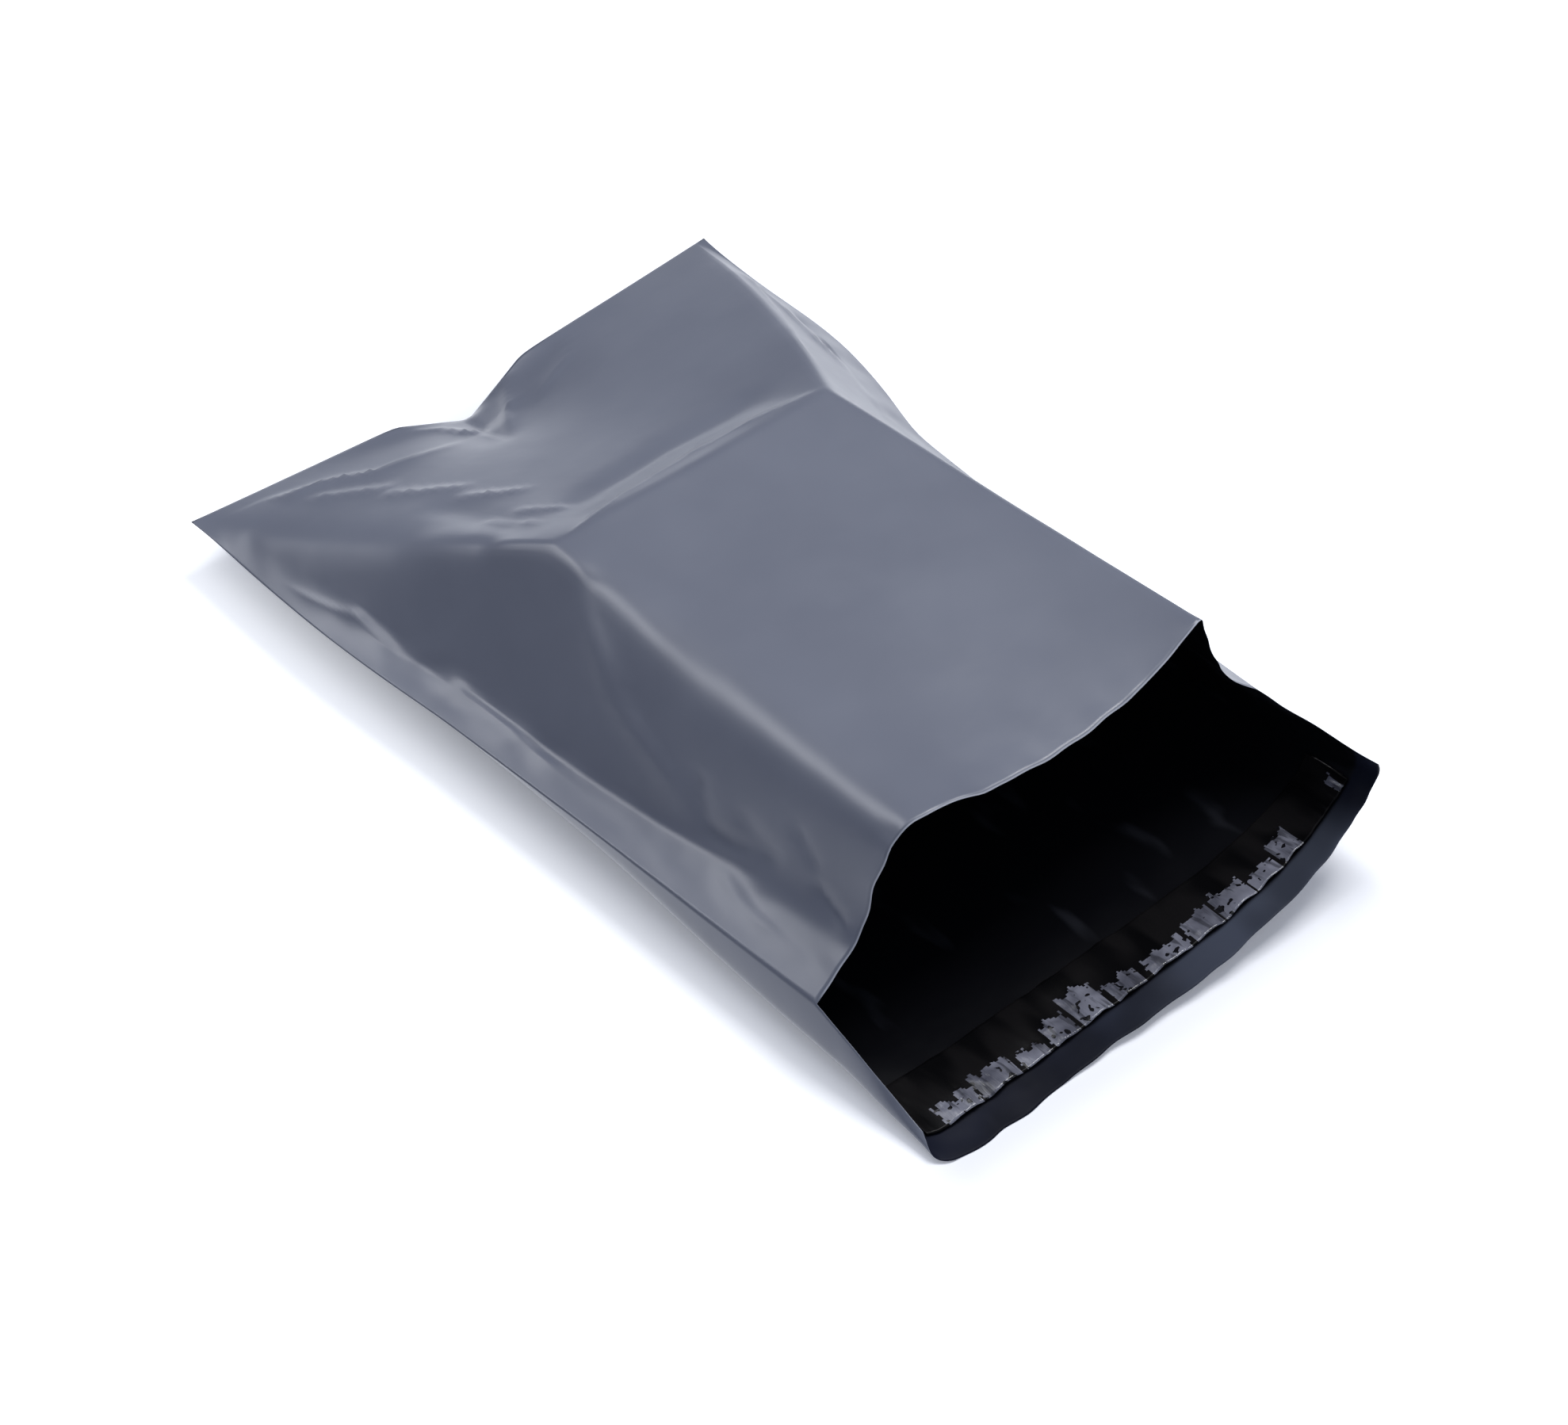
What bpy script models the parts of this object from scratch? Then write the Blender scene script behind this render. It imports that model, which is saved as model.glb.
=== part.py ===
"""Poly mailer: a co-extruded film envelope, open at the mouth, with a sealing lip.

Metres, +Z up. The mailer lies on its back panel, and the origin is on that panel's flat
underside, midway between the mouth and the closed bottom fold. +X runs across the width,
the fold is at +Y and the mouth with its lip is at -Y. The pocket stands open over a
block-shaped bulge, as the film keeps it once it has been filled.
"""

import math

import bmesh
import bpy
import numpy as np

# The flat envelope, as it comes off the roll
FLAT_WIDTH = 0.254
POCKET_LENGTH = 0.330
LIP_LENGTH = 0.060
FILM_THICKNESS = 0.0001

# The bulge that the pocket stands open over, measured inside the film
BULGE_WIDTH = 0.127
BULGE_LENGTH = 0.176
BULGE_HEIGHT = 0.0755
BULGE_SETBACK = 0.004
BULGE_TURN_ANGLE = 0.051
# How far its back corners are rounded off, left and right, and how far each ridge bows out
BULGE_CORNER_ROUND = (0.004, 0.0005)
RIDGE_BOW = (0.0, 0.0044)

# How high the side welds are drawn up off the surface, left and right
WELD_LIFT_FOLD = (0.021, 0.0265)
WELD_LIFT_MOUTH = (0.025, 0.043)
# How far folds draw the welds in behind the bulge, at the rows of the slope
WELD_DRAW_IN_LEFT = (0.0, 0.0012, 0.0024, 0.0024, 0.0005)
WELD_DRAW_IN_RIGHT = (0.0, 0.0020, 0.0036, -0.0005, -0.0015)
# The bottom fold: its two pillows, and the dent between them
FOLD_PILLOW_LIFT = (0.0145, 0.0175)
FOLD_PILLOW_X = (-0.028, 0.030)
FOLD_DENT_LIFT = 0.004
FOLD_DENT_X = 0.002
FOLD_DENT_PULL = 0.004
FOLD_CHORD_SHARE = 0.94
# How far the slope hangs below a straight line from the bulge to the fold
SLOPE_SAG = 0.006

# A slack wall bows, so its chord is a share of its film: at the bulge's back, at the fold
# and at the mouth, left and right
WALL_CHORD_SHARE_BACK = (1.035, 0.84)
WALL_CHORD_SHARE_FOLD = (0.98, 0.93)
WALL_CHORD_SHARE_MOUTH = (0.87, 0.71)
WALL_LEAST_SHARE = 0.2
# What a wall gains because the ridge above it is round
RIDGE_SAVING = 0.003
# The wall turns outwards to the weld along a narrow band
BAND_RUN = (0.013, 0.010)
BAND_RISE = (0.0045, 0.008)
MOUTH_BAND_RUN_SHARE = 0.6
MOUTH_BAND_RISE_SHARE = 0.28
# The mouth edge over the two ridges: how far it flares up, rolls out and draws back
MOUTH_FLARE = (0.011, 0.013)
MOUTH_ROLL = (0.009, 0.001)
MOUTH_DRAW = (0.003, 0.005)
MOUTH_OVERHANG = 0.002
# The back panel's foot and its curl below a weld, in shares of the weld's height, at the
# mouth and at the fold
FOOT_SHARE = (0.75, 1.3)
CURL_SHARE = (-0.20, 0.35)
CURL_RISE_SHARE = (0.16, 0.42)
BACK_FREE_SHARE = 0.30
# The lip's end edge, from the left weld to the right one: its height, and how far back it lies
LIP_END_LIFT = (0.015, 0.002, 0.0, 0.0, 0.003, 0.007, 0.012, 0.030, 0.0455)
LIP_END_DRAW = (0.0045, -0.0045, -0.004, 0.0, 0.0, 0.0005, 0.002, 0.0095, 0.0075)
LIP_SPREAD = (0.003, 0.004)

# Folds in the front panel: path over the flat film as (across, along) points from the middle
# of the mouth, then width and height
HOLLOW_BEHIND_BULGE = (((-0.045, 0.192), (0.0, 0.207), (0.065, 0.193)), 0.010, -0.0016)
TAUT_LINE = (((-0.050, 0.181), (0.012, 0.190), (0.070, 0.183)), 0.008, 0.0012)
PILLOW_STREAK = (((-0.118, 0.326), (-0.073, 0.313), (-0.018, 0.305)), 0.008, 0.0016)
DENT_EDGE = (((-0.034, 0.328), (-0.010, 0.310), (-0.010, 0.284)), 0.008, 0.0012)
RIGHT_FACE_FOLD = (((0.116, 0.296), (0.107, 0.250), (0.112, 0.208)), 0.008, 0.0012)
WALL_FOLD = (((-0.054, 0.174), (-0.070, 0.138), (-0.080, 0.096)), 0.010, 0.0014)
WALL_HOLLOW = (((-0.076, 0.150), (-0.090, 0.110), (-0.098, 0.060)), 0.010, -0.0014)
FRONT_FOLDS = (
    HOLLOW_BEHIND_BULGE,
    TAUT_LINE,
    PILLOW_STREAK,
    DENT_EDGE,
    RIGHT_FACE_FOLD,
    WALL_FOLD,
    WALL_HOLLOW,
)
# A fold runs out over this share of its length at both ends
FOLD_RUN_OUT_SHARE = 0.3

# The hot-melt band on the lip and the release liner over it
ADHESIVE_WIDTH = 0.018
ADHESIVE_THICKNESS = 0.0001
LINER_WIDTH = 0.024
LINER_THICKNESS = 0.0001
LINER_MARGIN = 0.014
LINER_END_GAP = 0.006
SEAT_GAP = 0.0003

# Mesh density
SMOOTHING = 2
BAND_STEPS = 30

HALF = FLAT_WIDTH / 2
BULGE_HALF = BULGE_WIDTH / 2
BULGE_TOP = BULGE_HEIGHT + FILM_THICKNESS
BULGE_BACK = BULGE_SETBACK + BULGE_LENGTH
# The film is drawn over the bulge, which takes up part of its length
SLOPE_FILM = POCKET_LENGTH - BULGE_BACK
SLOPE_RISE = BULGE_TOP - sum(FOLD_PILLOW_LIFT) / 2
SLOPE_RUN = math.sqrt(SLOPE_FILM**2 - SLOPE_RISE**2)
FOLD_Y = BULGE_BACK + SLOPE_RUN

# Rows of the cage: shares of the slope from the bulge to the fold, shares of the bulge
# from its back edge to the mouth, and shares of the lip
SLOPE_SHARES = (1.0, 0.90, 0.66, 0.40, 0.15)
BULGE_SHARES = (0.0, 0.08, 0.42, 0.82, 1.0)
LIP_SHARES = (0.34, 0.72, 1.0)
MOUTH_START_SHARE = 0.6
ROUND_END_SHARE = 0.4
DENT_START_SHARE = 0.55
FREE_START_SHARE = 0.5
# Columns of the cage, left weld to right weld
COLUMNS = 9
MIDDLE = COLUMNS // 2
SHOULDER_SHARE = 0.5
FLAT_BACK_SHARES = (0.25, 0.5, 0.75)
# Each ridge runs down into a corner of the fold, this share of the way to its pillow,
# and spreads outwards early
RIDGE_END_SHARE = 0.16
RIDGE_SPREAD_POWER = 1.6
# How sharp the film turns at its welds, bands, ridges, the bulge's back edge and the dent
WELD_CREASE_SHARE = 1.0
BAND_CREASE_SHARE = 0.6
RIDGE_CREASE_SHARE = (0.45, 0.9)
BACK_EDGE_CREASE_SHARE = 0.45
DENT_CREASE_SHARE = 0.7
# Sign along X and index of the left and the right side
SIDES = ((-1, 0), (1, 1))


def mix(low, high, share):
    return low + (high - low) * share


def ease(share):
    share = min(max(share, 0.0), 1.0)
    return share * share * (3 - 2 * share)


def rest_of(share, start):
    """How far a share has gone from its start to 1."""
    return (share - start) / (1 - start)


def weld_lift(side, y):
    """Height of a side weld at y, from the fold to the mouth."""
    return mix(WELD_LIFT_MOUTH[side], WELD_LIFT_FOLD[side], y / FOLD_Y)


def bulge_centre(y):
    """The bulge lies a little turned in the pocket."""
    return BULGE_TURN_ANGLE * (FOLD_Y / 2 - y)


def weld_reach(ridge_reach, ridge_height, lift, chord_share):
    """How far out a side weld lies, from the film left between it and the ridge."""
    chord = chord_share * (HALF - ridge_reach + RIDGE_SAVING)
    drop = ridge_height - lift
    return ridge_reach + math.sqrt(max(chord**2 - drop**2, (WALL_LEAST_SHARE * chord) ** 2))


def front_row(depths, ridges, bands, welds, top):
    """Nine points across the front panel: weld, band, ridge, three on top, and back down."""
    line = [welds[0], bands[0], ridges[0], *top, ridges[1], bands[1], welds[1]]
    return [(x, depth, z) for depth, (x, z) in zip(depths, line)]


def bulge_front_row(share):
    """A row of the front panel over the bulge: 0 is the bulge's back edge, 1 the mouth."""
    y = mix(BULGE_BACK, 0.0, share)
    mouth = ease(rest_of(share, MOUTH_START_SHARE))
    centre = bulge_centre(y)
    ridges, bands, welds = [], [], []
    for sign, side in SIDES:
        rounding = BULGE_CORNER_ROUND[side] * (1 - ease(share / ROUND_END_SHARE))
        bowed = BULGE_HALF - rounding + RIDGE_BOW[side] * 4 * share * (1 - share)
        ridge_x = centre + sign * (bowed + mouth * MOUTH_ROLL[side])
        ridge_z = BULGE_TOP + mouth * MOUTH_FLARE[side]
        lift = weld_lift(side, y)
        chord = mix(WALL_CHORD_SHARE_BACK[side], WALL_CHORD_SHARE_MOUTH[side], share)
        reach = weld_reach(centre * sign + bowed, BULGE_TOP, lift, chord)
        mouth_run = MOUTH_BAND_RUN_SHARE * (reach - abs(ridge_x))
        mouth_rise = MOUTH_BAND_RISE_SHARE * (ridge_z - lift)
        run = mix(BAND_RUN[side], mouth_run, mouth)
        rise = mix(BAND_RISE[side], mouth_rise, mouth)
        ridges.append((ridge_x, ridge_z))
        bands.append((sign * (reach - run), lift + rise))
        welds.append((sign * reach, lift))
    shoulders = (-SHOULDER_SHARE, 0.0, SHOULDER_SHARE)
    top = [(centre + BULGE_HALF * at, BULGE_TOP) for at in shoulders]
    left, right = MOUTH_DRAW
    over = -MOUTH_OVERHANG
    drawn = (0.0, left, left, over, over, 0.0, right, right, 0.0)
    return front_row([y + mouth * shift for shift in drawn], ridges, bands, welds, top)


def slope_front_row(number):
    """A row of the front panel behind the bulge, the first at the fold."""
    share = SLOPE_SHARES[number]
    y = mix(BULGE_BACK, FOLD_Y, share)
    spread = 1 - (1 - share) ** RIDGE_SPREAD_POWER
    dent = ease(rest_of(share, DENT_START_SHARE))
    corner = fold_corner_reach()
    # The sag is deepest near the bulge, where the film hangs from its back edge
    sag = SLOPE_SAG * 4 * math.sqrt(share) * (1 - math.sqrt(share))
    ridges, bands, welds, shoulders = [], [], [], []
    for sign, side in SIDES:
        lift = weld_lift(side, y)
        start = bulge_centre(BULGE_BACK) * sign + BULGE_HALF - BULGE_CORNER_ROUND[side]
        pillow_reach = FOLD_PILLOW_X[side] * sign
        end_reach = mix(corner, pillow_reach, RIDGE_END_SHARE)
        end_lift = mix(lift, FOLD_PILLOW_LIFT[side], RIDGE_END_SHARE)
        reach = mix(start, end_reach, spread)
        height = mix(BULGE_TOP, end_lift, share)
        chord = mix(WALL_CHORD_SHARE_BACK[side], WALL_CHORD_SHARE_FOLD[side], share)
        out = mix(weld_reach(reach, height, lift, chord), corner, ease(share))
        out -= (WELD_DRAW_IN_LEFT, WELD_DRAW_IN_RIGHT)[side][number]
        band = mix(out - BAND_RUN[side], (corner + end_reach) / 2, share)
        band_height = mix(lift + BAND_RISE[side], (lift + end_lift) / 2, share)
        ridges.append((sign * reach, height))
        bands.append((sign * band, band_height))
        welds.append((sign * out, lift))
        inner = bulge_centre(BULGE_BACK) + sign * BULGE_HALF * SHOULDER_SHARE
        shoulder_x = mix(inner, FOLD_PILLOW_X[side], share)
        shoulders.append((shoulder_x, mix(BULGE_TOP, FOLD_PILLOW_LIFT[side], share) - sag))
    plain = mix(BULGE_TOP, sum(FOLD_PILLOW_LIFT) / 2, share) - sag
    valley_x = mix(bulge_centre(BULGE_BACK), FOLD_DENT_X, share)
    valley = (valley_x, mix(plain, FOLD_DENT_LIFT, dent))
    depths = [y] * COLUMNS
    depths[MIDDLE] -= dent * FOLD_DENT_PULL
    return front_row(depths, ridges, bands, welds, [shoulders[0], valley, shoulders[1]])


def fold_corner_reach():
    """Half the fold's width once its dent and its slack have taken up some film."""
    rise = sum(FOLD_PILLOW_LIFT) / 2 - FOLD_DENT_LIFT
    run = (FOLD_PILLOW_X[1] - FOLD_PILLOW_X[0]) / 2
    return (HALF - (math.hypot(run, rise) - run)) * FOLD_CHORD_SHARE


def back_row(front, tuck, free):
    """The back panel under a front row: flat in the middle, curling up to the welds."""
    left, right = front[0], front[-1]
    y = left[1]
    curls, feet = [], []
    for (x, _, lift), sign in ((left, -1), (right, 1)):
        curl_x = sign * (abs(x) - mix(*CURL_SHARE, tuck) * lift)
        curls.append((curl_x, y, mix(*CURL_RISE_SHARE, tuck) * lift))
        feet.append((sign * (abs(x) - mix(*FOOT_SHARE, tuck) * lift), y, 0.0))
    flat = [(mix(feet[0][0], feet[1][0], at), y, 0.0) for at in FLAT_BACK_SHARES]
    row = [left, curls[0], feet[0], *flat, feet[1], curls[1], right]
    return [tuple(mix(a, b, free) for a, b in zip(low, high)) for low, high in zip(row, front)]


def lip_row(mouth, share):
    """A row of the lip beyond the mouth: its margins curl up, the right one more."""
    row = []
    for (x, _, z), end_lift, drawn in zip(mouth, LIP_END_LIFT, LIP_END_DRAW):
        spread = -LIP_SPREAD[0] if x < 0 else LIP_SPREAD[1]
        out = x + spread * share * abs(x / mouth[0][0]) ** 2
        row.append((out, -(LIP_LENGTH - drawn) * share, mix(z, end_lift, share)))
    return row


def cage():
    """Front rows from fold to mouth, and back rows from fold to the lip's end."""
    fold = slope_front_row(0)
    front = [fold]
    back = [fold]
    for number, share in enumerate(SLOPE_SHARES[1:], 1):
        row = slope_front_row(number)
        front.append(row)
        free = BACK_FREE_SHARE * ease(rest_of(share, FREE_START_SHARE))
        back.append(back_row(row, 1.0, free))
    for share in BULGE_SHARES:
        row = bulge_front_row(share)
        front.append(row)
        back.append(back_row(row, 1 - ease(share), 0.0))
    mouth = back[-1]
    for share in LIP_SHARES:
        back.append(lip_row(mouth, share))
    return front, back


def flat_across(row):
    """Where a row's points lie across the flat film, from its middle."""
    steps = [math.dist(a, b) for a, b in zip(row, row[1:])]
    total = sum(steps)
    return [FLAT_WIDTH * (sum(steps[:count]) / total - 0.5) for count in range(len(row))]


def flat_along():
    """Where each row lies along the flat film, from the mouth, as cage() lists them."""
    slope = [mix(BULGE_BACK, POCKET_LENGTH, share) for share in SLOPE_SHARES]
    return slope + [mix(BULGE_BACK, 0.0, share) for share in BULGE_SHARES]


def film_cage_mesh():
    """The cage as a mesh. Each point knows its place on the flat film and its panel."""
    front, back = cage()
    work = bmesh.new()
    layers = {name: work.verts.layers.float.new(name) for name in ("across", "along", "front")}
    crease = work.edges.layers.float.new("crease_edge")
    corner = work.verts.layers.float.new("crease_vert")
    fold = [work.verts.new(p) for p in front[0]]
    front_verts, back_verts = [fold], [fold]
    for row, under in zip(front[1:], back[1:]):
        verts = [work.verts.new(p) for p in row]
        front_verts.append(verts)
        inner = [work.verts.new(p) for p in under[1:-1]]
        back_verts.append([verts[0], *inner, verts[-1]])
    for row in back[len(front):]:
        back_verts.append([work.verts.new(p) for p in row])
    # The front panel's faces look up and the back panel's down, so all of them look outwards
    for rows, turn in ((front_verts, -1), (back_verts, 1)):
        for low, high in zip(rows, rows[1:]):
            for column in range(COLUMNS - 1):
                face = [low[column], low[column + 1], high[column + 1], high[column]]
                work.faces.new(face[::turn])

    def set_crease(start, end, weight):
        work.edges.get((start, end))[crease] = weight

    for column in range(COLUMNS - 1):
        set_crease(fold[column], fold[column + 1], WELD_CREASE_SHARE)
    creases = {0: WELD_CREASE_SHARE, 1: BAND_CREASE_SHARE, 2: RIDGE_CREASE_SHARE[0]}
    creases |= {COLUMNS - 3: RIDGE_CREASE_SHARE[1], COLUMNS - 1: WELD_CREASE_SHARE}
    for low, high in zip(front_verts, front_verts[1:]):
        for column, weight in creases.items():
            set_crease(low[column], high[column], weight)
    back_edge = front_verts[len(SLOPE_SHARES)]
    for column in range(2, COLUMNS - 3):
        set_crease(back_edge[column], back_edge[column + 1], BACK_EDGE_CREASE_SHARE)
    for vert in (fold[0], fold[-1], back_verts[-1][0], back_verts[-1][-1]):
        vert[corner] = WELD_CREASE_SHARE
    for vert in fold[MIDDLE - 1:MIDDLE + 2]:
        vert[corner] = DENT_CREASE_SHARE
    for verts, row, along in zip(front_verts, front, flat_along()):
        for vert, across in zip(verts, flat_across(row)):
            vert[layers["across"]] = across
            vert[layers["along"]] = along
    for verts in front_verts[1:]:
        for vert in verts[1:-1]:
            vert[layers["front"]] = 1.0
    mesh = bpy.data.meshes.new("film_body")
    work.to_mesh(mesh)
    work.free()
    return mesh


def fold_height(across, along, path, width, height):
    """One fold's height at every point of the film, running out at both of its ends."""
    path = np.array(path)
    lengths = np.linalg.norm(np.diff(path, axis=0), axis=1)
    nearest = np.full(across.shape, np.inf)
    gone = np.zeros(across.shape)
    for start, end, length, before in zip(path, path[1:], lengths, np.cumsum(lengths) - lengths):
        step_x, step_y = (end - start) / length
        from_x, from_y = across - start[0], along - start[1]
        run = np.clip(from_x * step_x + from_y * step_y, 0, length)
        gap = np.hypot(from_x - step_x * run, from_y - step_y * run)
        gone = np.where(gap < nearest, before + run, gone)
        nearest = np.minimum(gap, nearest)
    share = gone / lengths.sum()
    fade = np.clip(np.minimum(share, 1 - share) / FOLD_RUN_OUT_SHARE, 0, 1)
    return height * fade * np.exp(-((nearest / width) ** 2))


def read_layer(mesh, name):
    values = np.empty(len(mesh.vertices), np.float32)
    mesh.attributes[name].data.foreach_get("value", values)
    return values.astype(float)


def press_folds(mesh):
    """Moves the smooth film in and out along its normals, where the front's folds run."""
    across, along = read_layer(mesh, "across"), read_layer(mesh, "along")
    height = sum(fold_height(across, along, *fold) for fold in FRONT_FOLDS)
    height *= read_layer(mesh, "front")
    for vert, normal, out in zip(mesh.vertices, mesh.vertex_normals, height):
        vert.co = vert.co + normal.vector * float(out)
    for name in ("across", "along", "front"):
        mesh.attributes.remove(mesh.attributes[name])


def new_object(name, mesh, collection, material, datum):
    body = bpy.data.objects.new(name, mesh)
    collection.objects.link(body)
    body.parent = datum
    mesh.materials.append(material)
    mesh.shade_smooth()
    return body


def principled(name, colour, roughness):
    material = bpy.data.materials.new(name)
    material.use_nodes = True
    shader = material.node_tree.nodes["Principled BSDF"]
    shader.inputs["Base Color"].default_value = (*colour, 1.0)
    shader.inputs["Roughness"].default_value = roughness
    shader.inputs["Metallic"].default_value = 0.0
    return material


def film_body(collection, material, datum):
    """One film: front panel, bottom fold, back panel and lip, welded along both sides."""
    body = new_object("film_body", film_cage_mesh(), collection, material, datum)
    smooth = body.modifiers.new("soft_film", "SUBSURF")
    smooth.levels = smooth.render_levels = SMOOTHING
    smooth.boundary_smooth = "PRESERVE_CORNERS"
    smoothed = body.evaluated_get(bpy.context.evaluated_depsgraph_get())
    body.data = bpy.data.meshes.new_from_object(smoothed)
    body.modifiers.clear()
    press_folds(body.data)
    wall = body.modifiers.new("film_wall", "SOLIDIFY")
    wall.thickness = FILM_THICKNESS
    wall.offset = -1.0
    return body


def lip_band(name, width, thickness, gap, under, collection, material, datum):
    """A thin band across the lip, laid down on the film and then given its thickness."""
    centre = -LIP_LENGTH + LINER_MARGIN + LINER_WIDTH / 2
    reach = bulge_front_row(1.0)[-1][0] - LINER_END_GAP
    work = bmesh.new()
    bmesh.ops.create_grid(work, x_segments=BAND_STEPS, y_segments=2, size=0.5)
    for vert in work.verts:
        vert.co = (vert.co.x * 2 * reach, centre + vert.co.y * width, BULGE_TOP)
    mesh = bpy.data.meshes.new(name)
    work.to_mesh(mesh)
    work.free()
    band = new_object(name, mesh, collection, material, datum)
    lay = band.modifiers.new("laid_on_lip", "SHRINKWRAP")
    lay.target = under
    lay.wrap_method = "PROJECT"
    lay.wrap_mode = "ABOVE_SURFACE"
    lay.use_project_z = True
    lay.use_negative_direction = True
    lay.use_positive_direction = False
    lay.offset = gap
    skin = band.modifiers.new("band_wall", "SOLIDIFY")
    skin.thickness = thickness
    skin.offset = 1.0
    return band


def main():
    for old in list(bpy.data.objects):
        bpy.data.objects.remove(old, do_unlink=True)
    collection = bpy.data.collections.new("poly_mailer")
    bpy.context.scene.collection.children.link(collection)
    # The cage is drawn from the mouth, and this empty carries it to the origin
    datum = bpy.data.objects.new("mouth_datum", None)
    datum.location = (0.0, -FOLD_Y / 2, 0.0)
    collection.objects.link(datum)
    grey_film = principled("grey_film", (0.19, 0.20, 0.24), 0.32)
    hot_melt = principled("hot_melt", (0.55, 0.55, 0.50), 0.45)
    liner_film = principled("liner_film", (0.62, 0.63, 0.68), 0.20)
    body = film_body(collection, grey_film, datum)
    strip = (ADHESIVE_WIDTH, ADHESIVE_THICKNESS, SEAT_GAP)
    lip_band("adhesive_strip", *strip, body, collection, hot_melt, datum)
    liner = (LINER_WIDTH, LINER_THICKNESS, 2 * SEAT_GAP + ADHESIVE_THICKNESS)
    lip_band("release_liner", *liner, body, collection, liner_film, datum)


main()
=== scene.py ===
"""Looks of the poly mailer: film, seal strip, release liner, studio floor, light and camera."""

import math

import bmesh
import bpy
import numpy as np
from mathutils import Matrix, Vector, noise
from mathutils.bvhtree import BVHTree
from mathutils.geometry import barycentric_transform


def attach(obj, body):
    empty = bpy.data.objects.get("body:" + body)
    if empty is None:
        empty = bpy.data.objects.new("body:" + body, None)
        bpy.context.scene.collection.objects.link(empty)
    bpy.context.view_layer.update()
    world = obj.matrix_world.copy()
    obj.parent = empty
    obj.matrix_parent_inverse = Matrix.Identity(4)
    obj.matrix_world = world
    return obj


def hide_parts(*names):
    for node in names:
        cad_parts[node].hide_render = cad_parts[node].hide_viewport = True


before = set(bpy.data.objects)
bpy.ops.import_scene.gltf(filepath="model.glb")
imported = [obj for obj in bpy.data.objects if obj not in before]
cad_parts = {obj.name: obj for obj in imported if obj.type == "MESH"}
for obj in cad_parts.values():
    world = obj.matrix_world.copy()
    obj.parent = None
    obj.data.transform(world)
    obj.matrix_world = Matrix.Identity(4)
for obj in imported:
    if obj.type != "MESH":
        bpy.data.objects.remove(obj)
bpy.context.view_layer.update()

MM = 0.001

# The flat envelope, in millimetres as everything below
FLAT_WIDTH = 254.0
POCKET_LENGTH = 330.0
LIP_LENGTH = 60.0
FILM_THICKNESS = 0.1

# The bulge that the pocket stands open over, and how far its back corners are rounded off
BULGE_WIDTH = 127.0
BULGE_LENGTH = 176.0
BULGE_HEIGHT = 75.5
BULGE_SETBACK = 4.0
BULGE_TURN = 0.051
BULGE_CORNER_ROUND = (4.0, 0.5)
# How far each ridge bows outwards between the bulge's two ends
RIDGE_BOW = (0.0, 4.4)

# Heights of the side welds (left, right), and the shape of the bottom fold
WELD_LIFT_FOLD = (21.0, 26.5)
WELD_LIFT_MOUTH = (25.0, 43.0)
FOLD_PILLOW_LIFT = (14.5, 17.5)
FOLD_PILLOW_X = (-28.0, 30.0)
FOLD_DENT_LIFT = 4.0
FOLD_DENT_X = 2.0
FOLD_DENT_PULL = 4.0
FOLD_CHORD_SHARE = 0.94

# A slack wall bows, so its chord is a share of its film: at the bulge's back, at the fold
# and at the mouth, left and right
WALL_CHORD_BACK = (1.035, 0.84)
WALL_CHORD_FOLD = (0.98, 0.93)
WALL_CHORD_MOUTH = (0.87, 0.71)
WALL_LEAST_SHARE = 0.2
# What a wall gains because the ridge above it is round
RIDGE_SAVING = 3.0

# How far the slope hangs below a straight line from the bulge to the fold
SLOPE_SAG = 6.0
# How fast its ridges spread, and where they end between the fold's corner and its pillow
RIDGE_SPREAD_POWER = (1.6, 1.2)
RIDGE_END_SHARE = (0.16, 0.05)
# How far folds near the bottom draw each weld in, at the slope's rows
WELD_DRAW_IN = ((0.0, 1.2, 2.4, 2.4, 0.5), (0.0, 2.0, 3.6, -0.5, -1.5))
# Between these shares of the slope the left wall's band turns into one straight wall
STRAIGHT_WALL_SHARES = (0.35, 0.70)

# The wall turns outwards to the weld along a narrow band, which grows wider at the mouth
BAND_RUN = (13.0, 10.0)
BAND_RISE = (4.5, 8.0)
MOUTH_BAND_RUN_SHARE = (0.74, 0.6)
MOUTH_BAND_RISE_SHARE = 0.25
# The mouth edge over the two ridges: how far it flares up, rolls out and draws back
MOUTH_FLARE = (11.0, 13.0)
MOUTH_ROLL = (9.0, 1.0)
MOUTH_DRAW = (3.0, 5.0)
MOUTH_OVERHANG = 2.0

# The back panel's foot and its curl below a weld, in shares of the weld's height, at the
# mouth and at the fold
FOOT_SHARE = (0.75, 1.3)
CURL_SHARE = (-0.21, 0.35)
CURL_RISE_SHARE = (0.16, 0.42)
BACK_FREE_SHARE = 0.30
# The lip's end edge, from the left weld to the right one: its height, how far back it lies,
# and how far its two ends spread
LIP_END_LIFT = (6.0, 0.5, 0.0, 0.0, 3.0, 7.0, 12.0, 30.0, 45.5)
LIP_END_DRAW = (10.5, -1.5, -4.0, 0.0, 0.0, 0.5, 2.0, 12.5, 7.5)
LIP_SPREAD = (-2.0, 4.0)

# The hot-melt strip on the lip, and the release liner over it
LINER_CENTRE = -36.5
LINER_WIDTH = 24.0
LINER_END_GAP = 20.0
LINER_LIFT = 0.99
ADHESIVE_WIDTH = 18.0
STRIP_LIFT = 0.45
# Their grids: rows, the length of a column, and how far the edges wander over which run
LINER_GRID = (26, 0.8, 0.5)
STRIP_GRID = (8, 1.6, 0.4)
EDGE_RUN = 7.0
EDGE_SEED = 40.0
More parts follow.
